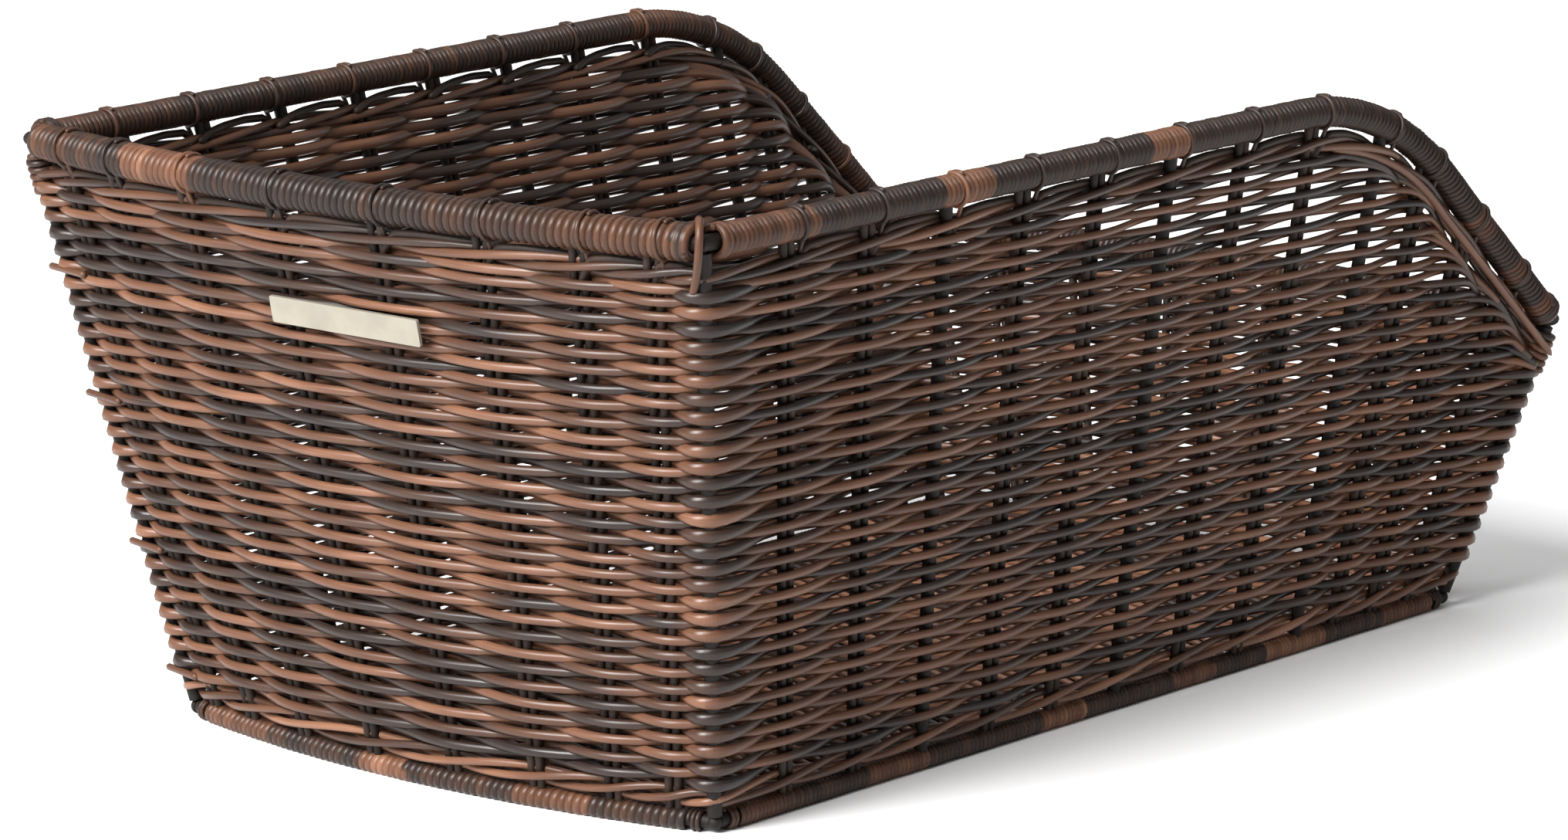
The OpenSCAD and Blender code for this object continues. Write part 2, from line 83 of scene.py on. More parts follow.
ROW_PITCH = 3.2                                # height between weaving rows
STRAND_R = 1.55                                # radius of a weaving strand
OUT = 3.15                                     # how far a strand passes a stake's middle
STAKE_R = 1.7                                  # radius of one rod of a stake
BORDER_H = 9.0                                 # height of the lower border
RIM_GAP = 5.0                                  # from the rim down to the upper border
LOW_EDGE = BASE_R + 0.3 + BORDER_H             # where the rows start, over the ring
HIGH_EDGE = REAR_R + 9.3                       # where they stop, under the rim
LEVEL_BAYS, SLOPE_BAYS, BEND_SHARE = 9, 4, 0.776    # stakes on a side: wide bays, then narrow ones
ROD_STAKES = (3, 6, 9)                         # these places hold a thick rod, which the CAD model has
END_STAKES, END_SPREAD = 8, 10.2               # stakes in the rear wall and in the front wall
BADGE_Y, BADGE_Z = -7.0, 174.0                 # the plate's middle on the rear wall
BADGE_REACH_Y, BADGE_REACH_Z = 34.0, 9.0       # rows lie flatter behind it, this far from its middle
BEHIND_BADGE = 2.6                             # how far they pass a stake's middle there

RIGHT, FRONT, LEFT, REAR = range(4)


# ---- The walls' shape, as in the CAD model ----
def sag(y, half, bow):
    """How far a bowed wall stands out at y."""
    r = (half*half + bow*bow)/(2*bow)
    return np.sqrt(np.maximum(r*r - y*y, 0)) - (r - bow)


def rim_drop(run):
    """How far a side rim is below its level part, this far along it."""
    bend = np.clip(run - LEVEL_RUN, 0, BEND_RUN)
    past = np.clip(run - LEVEL_RUN - BEND_RUN, 0, None)
    return BEND - np.sqrt(BEND**2 - bend**2) + past*math.tan(SLOPE)


def rim_slope(run):
    """Its angle there."""
    return np.arcsin(np.clip((run - LEVEL_RUN)/BEND, 0, math.sin(SLOPE)))


def stack(x, y, z):
    return np.stack(np.broadcast_arrays(x, y, z), -1).astype(float)


def wall_top(k, f):
    """The rim's centre line over wall k."""
    f = np.asarray(f, float)
    if k == LEFT:
        return wall_top(RIGHT, 1 - f)*[1, -1, 1]
    if k == RIGHT:
        return stack(-REAR_X + f*(LIP_X + REAR_X), -REAR_Y - f*(LIP_Y - REAR_Y),
                     RIM_H - rim_drop(f*RIM_RUN))
    if k == FRONT:
        y = (2*f - 1)*LIP_Y
        return stack(LIP_X + sag(y, LIP_Y, FRONT_BOW), y, LIP_H)
    y = (1 - 2*f)*REAR_Y
    return stack(-REAR_X - sag(y, REAR_Y, REAR_BOW), y, RIM_H)


def wall_base(k, f):
    """The base ring's centre line under wall k."""
    f = np.asarray(f, float)
    if k == LEFT:
        return wall_base(RIGHT, 1 - f)*[1, -1, 1]
    if k == RIGHT:
        return stack(-BASE_X + f*2*BASE_X, -BASE_Y, 0*f)
    if k == FRONT:
        y = (2*f - 1)*BASE_Y
        return stack(BASE_X + sag(y, BASE_Y, FRONT_BOW), y, 0*f)
    y = (1 - 2*f)*BASE_Y
    return stack(-BASE_X - sag(y, BASE_Y, REAR_BOW), y, 0*f)


def wall_at(k, f, z):
    """The wall's middle surface at the share f along wall k and the height z."""
    top, base = wall_top(k, f), wall_base(k, f)
    w = (np.asarray(z, float)/top[..., 2])[..., None]
    return base + (top - base)*w


def outward(k, f, z):
    """Level unit vector that points out of wall k."""
    e = 0.002
    t = wall_at(k, np.minimum(f + e, 1), z) - wall_at(k, np.maximum(f - e, 0), z)
    n = np.stack([t[..., 1], -t[..., 0], 0*t[..., 0]], -1)
    return n/np.linalg.norm(n, axis=-1, keepdims=True)


def under_rim(k, f, d):
    """Height of the line that runs d below the rim's centre line, square to it."""
    f = np.asarray(f, float)
    return wall_top(k, f)[..., 2] - d/np.cos(slope_at(k, f))


def slope_at(k, f):
    if k == RIGHT:
        return rim_slope(f*RIM_RUN)
    if k == LEFT:
        return rim_slope((1 - f)*RIM_RUN)
    return 0*f


def closer(k, f, d, by):
    """A depth d under the rim that shrinks by as much as by on the slope."""
    return d - by*slope_at(k, f)/SLOPE


def stake_shares(k):
    """Where the stakes stand along wall k, as shares of its length."""
    side = [i*BEND_SHARE/LEVEL_BAYS for i in range(1, LEVEL_BAYS + 1)]
    side += [BEND_SHARE + i*(1 - BEND_SHARE)/SLOPE_BAYS for i in range(1, SLOPE_BAYS)]
    if k == RIGHT:
        return side
    if k == LEFT:
        return [1 - f for f in reversed(side)]
    turns = [90*(2*i + 1 - END_STAKES)/END_SPREAD for i in range(END_STAKES)]
    return [0.5 + 0.5*math.sin(math.radians(turn)) for turn in turns]


def is_rod(k, f):
    from_rear = f if k == RIGHT else 1 - f
    return k in (RIGHT, LEFT) and any(abs(from_rear - i*BEND_SHARE/LEVEL_BAYS) < 0.003 for i in ROD_STAKES)


# ---- Swept strands ----
class Strands:
    """Swept strands, gathered into one mesh with a tone, a run and a number on each."""

    def __init__(self):
        self.co, self.quads, self.tone, self.strand = [], [], [], []
        self.n, self.number = 0, 0

    @staticmethod
    def rounded_ends(p, t, r):
        """Points and radii with a narrower ring and a tip at each end, and which point each copies."""
        first = [p[0] - t[0]*0.85*r[0], p[0] - t[0]*0.55*r[0]]
        last = [p[-1] + t[-1]*0.55*r[-1], p[-1] + t[-1]*0.85*r[-1]]
        radii = np.concatenate([[0.03*r[0], 0.78*r[0]], r, [0.78*r[-1], 0.03*r[-1]]])
        copied = np.concatenate([[0, 0], np.arange(len(p)), [len(p) - 1]*2])
        return np.vstack([first, p, last]), radii, copied

    def add(self, points, normal, radius, tone, closed=False, sides=8, flat=1.0):
        """Sweeps a ring of the radius, stretched by flat square to the normal, along the points."""
        p = np.asarray(points, float)
        if closed:
            t = np.roll(p, -1, 0) - np.roll(p, 1, 0)
        else:
            t = np.gradient(p, axis=0)
        t /= np.maximum(np.linalg.norm(t, axis=1, keepdims=True), 1e-9)
        n = np.broadcast_to(np.asarray(normal, float), p.shape)
        n = n - (n*t).sum(1, keepdims=True)*t
        n /= np.maximum(np.linalg.norm(n, axis=1, keepdims=True), 1e-9)
        b = np.cross(t, n)
        r = np.broadcast_to(np.asarray(radius, float), (len(p),)).copy()
        flat = np.broadcast_to(np.asarray(flat, float), (len(p),))
        tone = np.broadcast_to(np.asarray(tone, float), (len(p),))
        step = np.linalg.norm(np.diff(p, axis=0), axis=1)
        run = np.concatenate([[0], np.cumsum(step)])
        if not closed:
            p, r, copied = self.rounded_ends(p, t, r)
            n, b, tone, run, flat = n[copied], b[copied], tone[copied], run[copied], flat[copied]
        a = np.linspace(0, 2*math.pi, sides, endpoint=False)
        thick = np.cos(a)[None, :, None]*n[:, None]
        wide = flat[:, None, None]*np.sin(a)[None, :, None]*b[:, None]
        ring = p[:, None] + r[:, None, None]*(thick + wide)
        m = len(p)
        last = m if closed else m - 1
        i = np.arange(last)[:, None]
        j = np.arange(sides)[None, :]
        i2, j2 = (i + 1) % m, (j + 1) % sides
        quads = np.stack([i*sides + j, i*sides + j2, i2*sides + j2, i2*sides + j], -1)
        self.co.append(ring.reshape(-1, 3))
        self.quads.append(quads.reshape(-1, 4) + self.n)
        self.tone.append(np.repeat(tone, sides))
        place = [np.repeat(run, sides)/1000, np.full(m*sides, self.number*0.371), np.cos(np.tile(a, m))*0.01]
        self.strand.append(np.stack(place, -1))
        self.n += m*sides
        self.number += 1

    def make(self, name, material, slot, *nodes, floor=False):
        """Makes the mesh, which stands for the CAD nodes; with floor, nothing in it goes below the floor."""
        co = np.concatenate(self.co)
        co = (co + [CENTRE_X, 0, RING_Z])/1000
        if floor:
            co[:, 2] = np.maximum(co[:, 2], 0.00002)
        quads = np.concatenate(self.quads)
        mesh = bpy.data.meshes.new(name)
        mesh.vertices.add(len(co))
        mesh.vertices.foreach_set("co", co.astype(np.float32).ravel())
        mesh.loops.add(quads.size)
        mesh.loops.foreach_set("vertex_index", quads.astype(np.int32).ravel())
        mesh.polygons.add(len(quads))
        mesh.polygons.foreach_set("loop_start", (np.arange(len(quads))*4).astype(np.int32))
        mesh.update(calc_edges=True)
        mesh.polygons.foreach_set("use_smooth", np.ones(len(quads), bool))
        tone = mesh.attributes.new("tone", "FLOAT", "POINT")
        tone.data.foreach_set("value", np.concatenate(self.tone).astype(np.float32))
        strand = mesh.attributes.new("strand", "FLOAT_VECTOR", "POINT")
        strand.data.foreach_set("vector", np.concatenate(self.strand).astype(np.float32).ravel())
        mesh.materials.append(material)
        obj = bpy.data.objects.new(name, mesh)
        bpy.context.scene.collection.objects.link(obj)
        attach(obj, "root")
        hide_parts(*nodes)


def smooth_noise(n, step, closed=False):
    """n values that change smoothly over about step values, from -1 to 1."""
    knots = max(int(round(n/step)), 3)
    v = rng.uniform(-1, 1, knots + 1)
    if closed:
        v[-1] = v[0]
    x = np.linspace(0, knots, n, endpoint=not closed)
    i = np.minimum(x.astype(int), knots - 1)
    t = x - i
    t = t*t*(3 - 2*t)
    return v[i]*(1 - t) + v[i + 1]*t


def weave_tone(n, step, closed=False):
    """Brown and near-black stretches along a strand."""
    v = 0.57 + 0.45*rng.uniform(-1, 1) + 0.65*smooth_noise(n, step, closed)
    v = np.clip(v, 0, 1)
    return 0.18 + 0.64*(v*v*(3 - 2*v)) + 0.07*smooth_noise(n, step/4, closed)


# ---- Rows of the weave ----
STATIONS = []                                  # (wall, share, is a corner), round the basket
for k in range(4):
    STATIONS.append((k, 0.0, True))
    STATIONS += [(k, f, False) for f in stake_shares(k)]
ALL = list(range(len(STATIONS)))
PER_BAY = 8                                    # points from one stake to the next
CORNER_OUT, CORNER_IN = 5.5, 1.7               # offsets at a corner, before the corners are rounded


def offset_at(i, parity):
    """How far outside the wall's middle a strand passes station i."""
    side = (-1)**(i + parity)
    if STATIONS[i % len(STATIONS)][2]:
        return CORNER_OUT if side > 0 else -CORNER_IN
    return OUT*side


def bay(i, parity):
    """Wall, shares and offsets of the points from station i up to the next."""
    k, f0, _ = STATIONS[i % len(STATIONS)]
    _, f1, corner = STATIONS[(i + 1) % len(STATIONS)]
    if corner:
        f1 = 1.0
    t = np.arange(PER_BAY)/PER_BAY
    a, b = offset_at(i, parity), offset_at(i + 1, parity)
    return k, f0 + (f1 - f0)*t, a + (b - a)*(1 - np.cos(math.pi*t))/2


def ring_line(stations, parity):
    """Walls, shares, offsets and corner marks of a line past these stations."""
    ks, fs, offs, corner = [], [], [], []
    for i in stations:
        k, f, off = bay(i, parity)
        ks += [k]*PER_BAY
        fs += list(f)
        offs += list(off)
        corner += [STATIONS[i % len(STATIONS)][2]] + [False]*(PER_BAY - 1)
    return np.array(ks), np.array(fs), np.array(offs), np.array(corner)


def mitred(k, f, z):
    """Outward direction, shared by two walls at their corner."""
    n = outward(k, f, z)
    if f > 1e-6:
        return n
    m = outward((k + 3) % 4, 1.0, z)
    d = (n + m)/np.linalg.norm(n + m)
    return d/(d @ n)


def line_points(ks, fs, offs, corner, z):
    """Points of a line that passes several walls, and their outward directions."""
    p, n = np.zeros((len(ks), 3)), np.zeros((len(ks), 3))
    for k in range(4):
        pick = ks == k
        if pick.any():
            p[pick] = wall_at(k, fs[pick], z[pick])
            n[pick] = outward(k, fs[pick], z[pick])
    for i in np.flatnonzero(corner):
        n[i] = mitred(ks[i], fs[i], z[i])
    return p + n*offs[:, None], n


def round_corners(p, corner, reach=5, times=3, closed=True):
    """Smooths a line near its corners."""
    near = np.zeros(len(p), bool)
    for i in np.flatnonzero(corner):
        near[np.arange(i - reach, i + reach + 1) % len(p)] = True
    if not closed:
        near[[0, -1]] = False
    for _ in range(times):
        q = 0.5*p + 0.25*(np.roll(p, 1, 0) + np.roll(p, -1, 0))
        p = np.where(near[:, None], q, p)
    return p


def corner_swell(corner, offs):
    """How much wider a strand lies as it passes outside a corner, from 0 to 1."""
    swell = np.where(corner & (offs > 0), 1.0, 0.0)
    for _ in range(3):
        swell = np.maximum(swell, 0.62*np.maximum(np.roll(swell, 1), np.roll(swell, -1)))
    return swell


def soft_min(a, b, k):
    """The smaller of a and b, with a bend of about k where they meet."""
    return -k*np.logaddexp(-a/k, -b/k)


def rim_limit(ks, fs, d):
    """Height of the line d under the rim, for points on several walls."""
    limit = np.zeros(len(ks))
    for k in range(4):
        pick = ks == k
        if pick.any():
            limit[pick] = under_rim(k, fs[pick], closer(k, fs[pick], d, 0.6))
    return limit


# Rows run round all four walls up to the lip. The rows above it start on the left slope, pass
# the rear wall and end on the right slope, and bend down where they meet the rim.
LAST_ROW_RISE, ROUND_ROW_RISE = 2.2, 0.9       # how far rows may reach past HIGH_EDGE
BENT_ROW_RISE = 4.2                            # how far rows may that bend under the slope
FLATNESS = (1.05, 1.08, 1.42, 1.08)            # a strand's height over its depth, on each wall
FIRST_LEFT = next(i for i in ALL if STATIONS[i][0] == LEFT)
OPEN = [i % len(ALL) for i in range(FIRST_LEFT, FIRST_LEFT + len(ALL) - 1 - END_STAKES)]
low_rows, high_rows = Strands(), Strands()
rows = int((RIM_H - HIGH_EDGE - LOW_EDGE)/ROW_PITCH) + 2
row_step = (RIM_H - HIGH_EDGE - LOW_EDGE + LAST_ROW_RISE - 2*STRAND_R)/(rows - 1)
round_top = LIP_H - HIGH_EDGE + ROUND_ROW_RISE - STRAND_R
for row in range(rows):
    z0 = LOW_EDGE + STRAND_R + row*row_step
    round_all = z0 < round_top
    ks, fs, offs, corner = ring_line(ALL if round_all else OPEN, row)
    n = len(ks)
    z = z0 + 0.45*smooth_noise(n, 20, round_all) + 0.30*smooth_noise(n, 7, round_all)
    rank = 1.0 + 2.5*(row % 2)                 # every second row bends a little lower
    limit = rim_limit(ks, fs, HIGH_EDGE - BENT_ROW_RISE + rank)
    if not round_all:
        from_rear = np.where(ks == RIGHT, fs, np.where(ks == LEFT, 1 - fs, 0))
        keep = (from_rear < LEVEL_RUN/RIM_RUN) | (limit > z0 - 13 - 5*rng.random())
        first, last = np.flatnonzero(keep)[[0, -1]]
        kept = slice(first, last + 1)
        ks, fs, offs, corner, z, limit = (v[kept] for v in (ks, fs, offs, corner, z, limit))
        n = len(ks)
    z = soft_min(z, limit, 2.2 if round_all else 2.8)
    beside_badge = np.abs(wall_base(REAR, fs)[:, 1] - BADGE_Y) < BADGE_REACH_Y
    at_badge = (ks == REAR) & beside_badge & (np.abs(z - BADGE_Z) < BADGE_REACH_Z)
    offs = np.where(at_badge, np.minimum(offs, BEHIND_BADGE), offs)
    p, normal = line_points(ks, fs, offs, corner, z)
    p = round_corners(p, corner, closed=round_all)
    # On the right wall, the near side that lies in shade, the tone is lowered by 0.07: painted shade
    tone = weave_tone(n, rng.uniform(14, 34), round_all) - np.where(ks == RIGHT, 0.07, 0)
    # High on the right wall the strands are thinner, and let more light through
    along = np.clip((fs - 0.25)/0.2, 0, 1)*np.clip((1.0 - fs)/0.15, 0, 1)
    slim = np.where(ks == RIGHT, along, 0)*min(max(row/rows - 0.35, 0)/0.4, 1)
    radius = STRAND_R*(1.04 - 0.13*slim)*(1 + 0.05*smooth_noise(n, 30, round_all))
    flat = np.choose(ks, FLATNESS) + 0.62*corner_swell(corner, offs)
    part = low_rows if row < rows//2 else high_rows
    part.add(p, normal, radius, tone, closed=round_all, flat=flat)


# ---- Materials ----
def material(name):
    """A new material, with its nodes, links and shader."""
    m = bpy.data.materials.new(name)
    m.use_nodes = True
    nodes, links = m.node_tree.nodes, m.node_tree.links
    return m, nodes, links, nodes["Principled BSDF"]


def colour_by(nodes, links, shader, value, stops):
    """Base colour from a value, through a ramp of (position, colour) stops."""
    r = nodes.new("ShaderNodeValToRGB")
    e = r.color_ramp.elements
    while len(e) < len(stops):
        e.new(0.5)
    for i, (at, colour) in enumerate(stops):
        e[i].position = at
        e[i].color = (*colour, 1)
    links.new(value, r.inputs["Fac"])
    links.new(r.outputs["Color"], shader.inputs["Base Color"])


def roughness_by(nodes, links, shader, value, low, high):
    spread = nodes.new("ShaderNodeMapRange")
    spread.inputs["To Min"].default_value = low
    spread.inputs["To Max"].default_value = high
    links.new(value, spread.inputs["Value"])
    links.new(spread.outputs["Result"], shader.inputs["Roughness"])


def bump_by(nodes, links, shader, height, strength, distance):
    b = nodes.new("ShaderNodeBump")
    b.inputs["Strength"].default_value = strength
    b.inputs["Distance"].default_value = distance
    links.new(height, b.inputs["Height"])
    links.new(b.outputs["Normal"], shader.inputs["Normal"])


def attribute(nodes, name):
    a = nodes.new("ShaderNodeAttribute")
    a.attribute_name = name
    return a


def stretched(nodes, links, vector, scale):
    m = nodes.new("ShaderNodeMapping")
    m.inputs["Scale"].default_value = scale
    links.new(vector, m.inputs["Vector"])
    return m.outputs["Vector"]


def noise(nodes, links, vector, scale, detail):
    n = nodes.new("ShaderNodeTexNoise")
    n.inputs["Scale"].default_value = scale
    n.inputs["Detail"].default_value = detail
    links.new(vector, n.inputs["Vector"])
    return n.outputs["Fac"]


def math_node(nodes, links, op, a, b, clamp=False):
    m = nodes.new("ShaderNodeMath")
    m.operation = op
    m.use_clamp = clamp
    for socket, v in zip(m.inputs, (a, b)):
        if isinstance(v, (int, float)):
            socket.default_value = v
        else:
            links.new(v, socket)
    return m.outputs[0]


def swing(nodes, links, value, size):
    """A noise value moved to swing round zero."""
    centred = math_node(nodes, links, "SUBTRACT", value, 0.5)
    return math_node(nodes, links, "MULTIPLY", centred, size)


def rattan(name, stops, rough, gloss):
    """Synthetic rattan: its colour drifts along the strand, with fine lengthwise streaks."""
    m, nodes, links, shader = material(name)
    tone = attribute(nodes, "tone").outputs["Fac"]
    strand = attribute(nodes, "strand").outputs["Vector"]
    drift = noise(nodes, links, strand, 26, 3)
    streak = noise(nodes, links, stretched(nodes, links, strand, (18, 40, 300)), 2.2, 4)
    mixed = math_node(nodes, links, "ADD", tone, swing(nodes, links, drift, 0.55))
    mixed = math_node(nodes, links, "ADD", mixed, swing(nodes, links, streak, 0.35), True)
    colour_by(nodes, links, shader, mixed, stops)
    roughness_by(nodes, links, shader, streak, *rough)
    bump_by(nodes, links, shader, streak, 0.25, 0.0003)
    shader.inputs["Specular IOR Level"].default_value = gloss
    return m


BROWNS = [(0.0, (0.013, 0.0092, 0.0085)), (0.28, (0.029, 0.0162, 0.0118)),
          (0.55, (0.078, 0.0335, 0.0180)), (0.80, (0.130, 0.0570, 0.0310)),
          (1.0, (0.225, 0.1050, 0.0590))]
DARKS = [(0.0, (0.008, 0.006, 0.005)), (1.0, (0.045, 0.025, 0.017))]
strand_material = rattan("rattan_strand", BROWNS, rough=(0.26, 0.46), gloss=0.42)
wrap_material = rattan("rattan_wrap", BROWNS, rough=(0.3, 0.5), gloss=0.32)
stake_material = rattan("rattan_stake", DARKS, rough=(0.4, 0.6), gloss=0.25)


# ---- Loose ends of the weave ----
def pointed(p, past):
    """The line, and then points this far past its end."""
    ahead = (p[-1] - p[-2])/np.linalg.norm(p[-1] - p[-2])
    return np.vstack([p] + [p[-1] + ahead*d for d in past])


# Strand tips that stand out at the left rear corner
for z0 in (120, 63, 14, 168):
    f = np.linspace(0.05, 0.0, 8)
    z = np.full(8, z0 + 0.8)
    p = wall_at(REAR, f, z) + outward(REAR, f, z)*4.6
    high_rows.add(pointed(p, (2.5, 5.5)), [0, 0, 1], STRAND_R*0.9, 0.62)
# One strand runs down the right slope, and its tip stands out past the corner
f = np.linspace(0.72, 1.0, 40)
z = under_rim(RIGHT, f, np.interp(f, [0.72, 0.80, 0.88, 1.0], [14.0, 12.0, 10.2, 8.4]))
away = np.interp(f, [0.72, 0.80, 1.0], [0.5, 4.6, 5.0])
p = wall_at(RIGHT, f, z) + outward(RIGHT, f, z)*away[:, None]
thin = STRAND_R*np.concatenate([np.ones(40), [0.95, 0.7, 0.25]])
high_rows.add(pointed(p, (1.5, 3.0, 4.5)), [0, -1, 0], thin, 0.74)

walls = ("weave_right", "weave_front", "weave_left", "weave_rear")
low_rows.make("weave_strands_low", strand_material, "weave", *walls)
high_rows.make("weave_strands_high", strand_material, "weave", *walls)

# ---- Stakes ----
stakes = Strands()
for k in range(4):
    base_run = 2*BASE_X if k in (RIGHT, LEFT) else 2*BASE_Y
    outer = REAR_R if k == REAR else RIM_R
    for f in stake_shares(k):
        if is_rod(k, f):
            continue
        for side in (-1, 1):
            share = f + side*(STAKE_R + 0.1)/base_run
            top = under_rim(k, np.array(share), outer - 0.8)
            z = np.linspace(BASE_R - 0.8, float(top), 24)
            p = wall_at(k, np.full(24, share), z)
            n = outward(k, np.full(24, share), z)
            p = p + n*(0.25*smooth_noise(24, 6))[:, None]
            stakes.add(p, n, STAKE_R, 0.35 + 0.35*smooth_noise(24, 8))

# Under the rim each stake is laid over towards the next: up, along and down behind it.
# The three rows give the share of the bay, the depth under the rim and the offset outwards.
LAID_ALONG = np.array([0.04, 0.08, 0.2, 0.45, 0.75, 0.95, 1.12])
LAID_DEPTH = np.array([RIM_GAP + 7, RIM_GAP + 3.5, 2.6, 1.9, 2.3, 3.0, 5.5])
LAID_OFFSET = np.array([0.5, 0.8, 1.5, 1.0, -0.5, -2.4, -3.0])
coarse, fine = np.linspace(0, 1, len(LAID_ALONG)), np.linspace(0, 1, 30)
for k in range(4):
    shares = stake_shares(k)
    outer = REAR_R if k == REAR else RIM_R
    for i, f in enumerate(shares):
        following = shares[i + 1] if i + 1 < len(shares) else min(2*f - shares[i - 1], 0.985)
        laid = (f + (following - f)*LAID_ALONG, outer + LAID_DEPTH, LAID_OFFSET)
        fs, d, off = (np.interp(fine, coarse, v) for v in laid)
        fs = np.minimum(fs, 0.995)
        z = under_rim(k, fs, d)
        n = outward(k, fs, z)
        stakes.add(wall_at(k, fs, z) + n*off[:, None], n, 1.5, 0.5 + 0.4*smooth_noise(30, 12))
stakes.make("stakes", stake_material, "stake", "stakes_right", "stakes_front", "stakes_left", "stakes_rear")


# ---- Twisted borders ----
BAYS_PER_TURN = 3                              # how many stakes apart its crossings are


def border(level, tones, tall, radius, wide=3.0):
    """Strands that twist round each other past the stakes; level(k, f) is their height."""
    strands = Strands()
    ks, fs, _, corner = ring_line(ALL, 0)
    n = len(ks)
    middle = np.zeros(n)
    for k in range(4):
        pick = ks == k
        middle[pick] = level(k, fs[pick])
    turns = round(len(ALL)/BAYS_PER_TURN)
    for j, tone in enumerate(tones):
        a = 2*math.pi*(turns*np.arange(n)/n + j/len(tones))
        z = middle + tall*np.sin(a) + 0.25*smooth_noise(n, 12, True)
        off = wide*np.cos(a)
        off[corner] = np.where(off[corner] > -1.7, CORNER_OUT, -2.6)
        p, normal = line_points(ks, fs, off, corner, z)
        p = round_corners(p, corner)
        thick = radius*(1 + 0.06*smooth_noise(n, 20, True))
        strands.add(p, normal, thick, tone + 0.22*smooth_noise(n, 18, True), closed=True)
    return strands


low_z = BASE_R + 0.15 + BORDER_H/2
lower = border(lambda k, f: np.full(len(f), low_z), (0.84, 0.74, 0.56), 2.5, 1.5)
lower.make("lower_border", strand_material, "border",
           "lower_border_right", "lower_border_front", "lower_border_left", "lower_border_rear")
upper = border(lambda k, f: under_rim(k, f, closer(k, f, REAR_R + 5.7, 4.4)), (0.66, 0.48, 0.34), 1.9, 1.55)
upper.make("upper_border", strand_material, "border",
           "upper_border_right", "upper_border_front", "upper_border_left", "upper_border_rear")


# ---- Wrappings ----
def resample(points, step):
    """Points at even steps along a line, where they are along it, and its length."""
    s = np.concatenate([[0], np.cumsum(np.linalg.norm(np.diff(points, axis=0), axis=1))])
    at = np.arange(0, s[-1], step)
    return interp_rows(at, s, points), at, s[-1]


def interp_rows(x, at, rows):
    return np.stack([np.interp(x, at, rows[:, i]) for i in range(3)], 1)


def axes_along(p):
    """Along, across and up at each point of a line."""
    t = np.gradient(p, axis=0)
    t /= np.linalg.norm(t, axis=1, keepdims=True)
    across = np.cross([0, 0, 1], t)
    across /= np.linalg.norm(across, axis=1, keepdims=True)
    return t, across, np.cross(t, across)


def bands_tone(share, bands):
    """Tone at each share of a run, from (where it starts, tone) pairs."""
    starts, tones = np.array(bands).T
    i = np.searchsorted(starts, share, side="right") - 1
    return tones[np.clip(i, 0, len(bands) - 1)]


def wind(strands, line, core, outer, pitch, bands, points=12):
    """A strand wound round a line from the radius core to outer, each turn beside the last."""
    step = 0.5
    thick = (outer - core)/2
    fine, at, length = resample(line, step)
    turn = pitch*(1 + 0.05*smooth_noise(len(at), 40))
    angle = np.concatenate([[0], np.cumsum(2*math.pi*step/turn[:-1])])
    steps = np.arange(0, angle[-1], 2*math.pi/points)
    s = np.interp(steps, angle, at)
    _, across, up = axes_along(fine)
    across, up = interp_rows(s, at, across), interp_rows(s, at, up)
    radial = np.cos(steps)[:, None]*up + np.sin(steps)[:, None]*across
    radius = (core + outer)/2 + 0.12*smooth_noise(len(s), points*2)
    p = interp_rows(s, at, fine) + radial*radius[:, None]
    turn_no = np.floor(steps/(2*math.pi)).astype(int)
    jitter = rng.uniform(-0.09, 0.09, turn_no.max() + 1)[turn_no]
    tone = bands_tone(s/length, bands) + jitter
    strands.add(p, radial, thick*1.02, tone, sides=6, flat=1.16*pitch*0.5/thick)


def rim_line(k, start, end):
    """The rim over wall k, cut short at each end."""
    run = RIM_RUN if k in (RIGHT, LEFT) else 2*REAR_Y
    return wall_top(k, np.linspace(start/run, 1 - end/run, 400))


def base_line(k):
    e = CORNER_GAP/(2*BASE_X if k in (RIGHT, LEFT) else 2*BASE_Y)
    return wall_base(k, np.linspace(e, 1 - e, 300))


# Bands of colour, each from its share of the run on; those that the photo shows are at its places
DARK, MID, BROWN, LIGHT = 0.20, 0.40, 0.54, 0.76
RIM_BANDS = {
    REAR: [(0, MID), (0.14, DARK), (0.18, LIGHT), (0.305, DARK), (0.655, 0.30), (0.815, 0.52)],
    RIGHT: [(0, BROWN), (0.087, DARK), (0.219, LIGHT), (0.27, DARK), (0.445, LIGHT), (0.489, DARK),
            (0.866, BROWN), (0.892, DARK), (0.929, 0.45), (0.95, DARK), (0.975, BROWN)],
    LEFT: [(0, BROWN), (0.1, 0.28), (0.25, MID), (0.31, 0.52), (0.38, 0.26), (0.55, 0.36),
           (0.74, 0.28), (0.86, 0.34), (0.93, MID)],
    FRONT: [(0, BROWN), (0.12, DARK), (0.4, MID), (0.5, DARK), (0.8, BROWN)],
}
BASE_BANDS = {
    RIGHT: [(0, MID), (0.07, DARK), (0.17, BROWN), (0.25, DARK), (0.41, LIGHT), (0.47, DARK),
            (0.6, BROWN), (0.66, DARK), (0.74, LIGHT), (0.83, DARK), (0.92, BROWN)],
    FRONT: [(0, DARK), (0.3, BROWN), (0.45, DARK), (0.8, MID)],
    LEFT: [(0, BROWN), (0.2, DARK), (0.5, LIGHT), (0.58, DARK), (0.85, BROWN)],
    REAR: [(0, BROWN), (0.17, DARK), (0.39, LIGHT), (0.49, DARK), (0.70, BROWN), (0.84, DARK)],
}
for name, k, outer, pitch, start, end in (
        ("right", RIGHT, RIM_R, 2.4, 10, 3), ("front", FRONT, RIM_R, 2.6, 4, 4),
        ("left", LEFT, RIM_R, 2.4, 3, 4), ("rear", REAR, REAR_R, 3.1, 4, 3)):
    wrap = Strands()
    wind(wrap, rim_line(k, start, end), 3.1, outer, pitch, RIM_BANDS[k], points=14)
    wrap.make("rim_wrap_" + name + "_strand", wrap_material, "wrap", "rim_wrap_" + name)
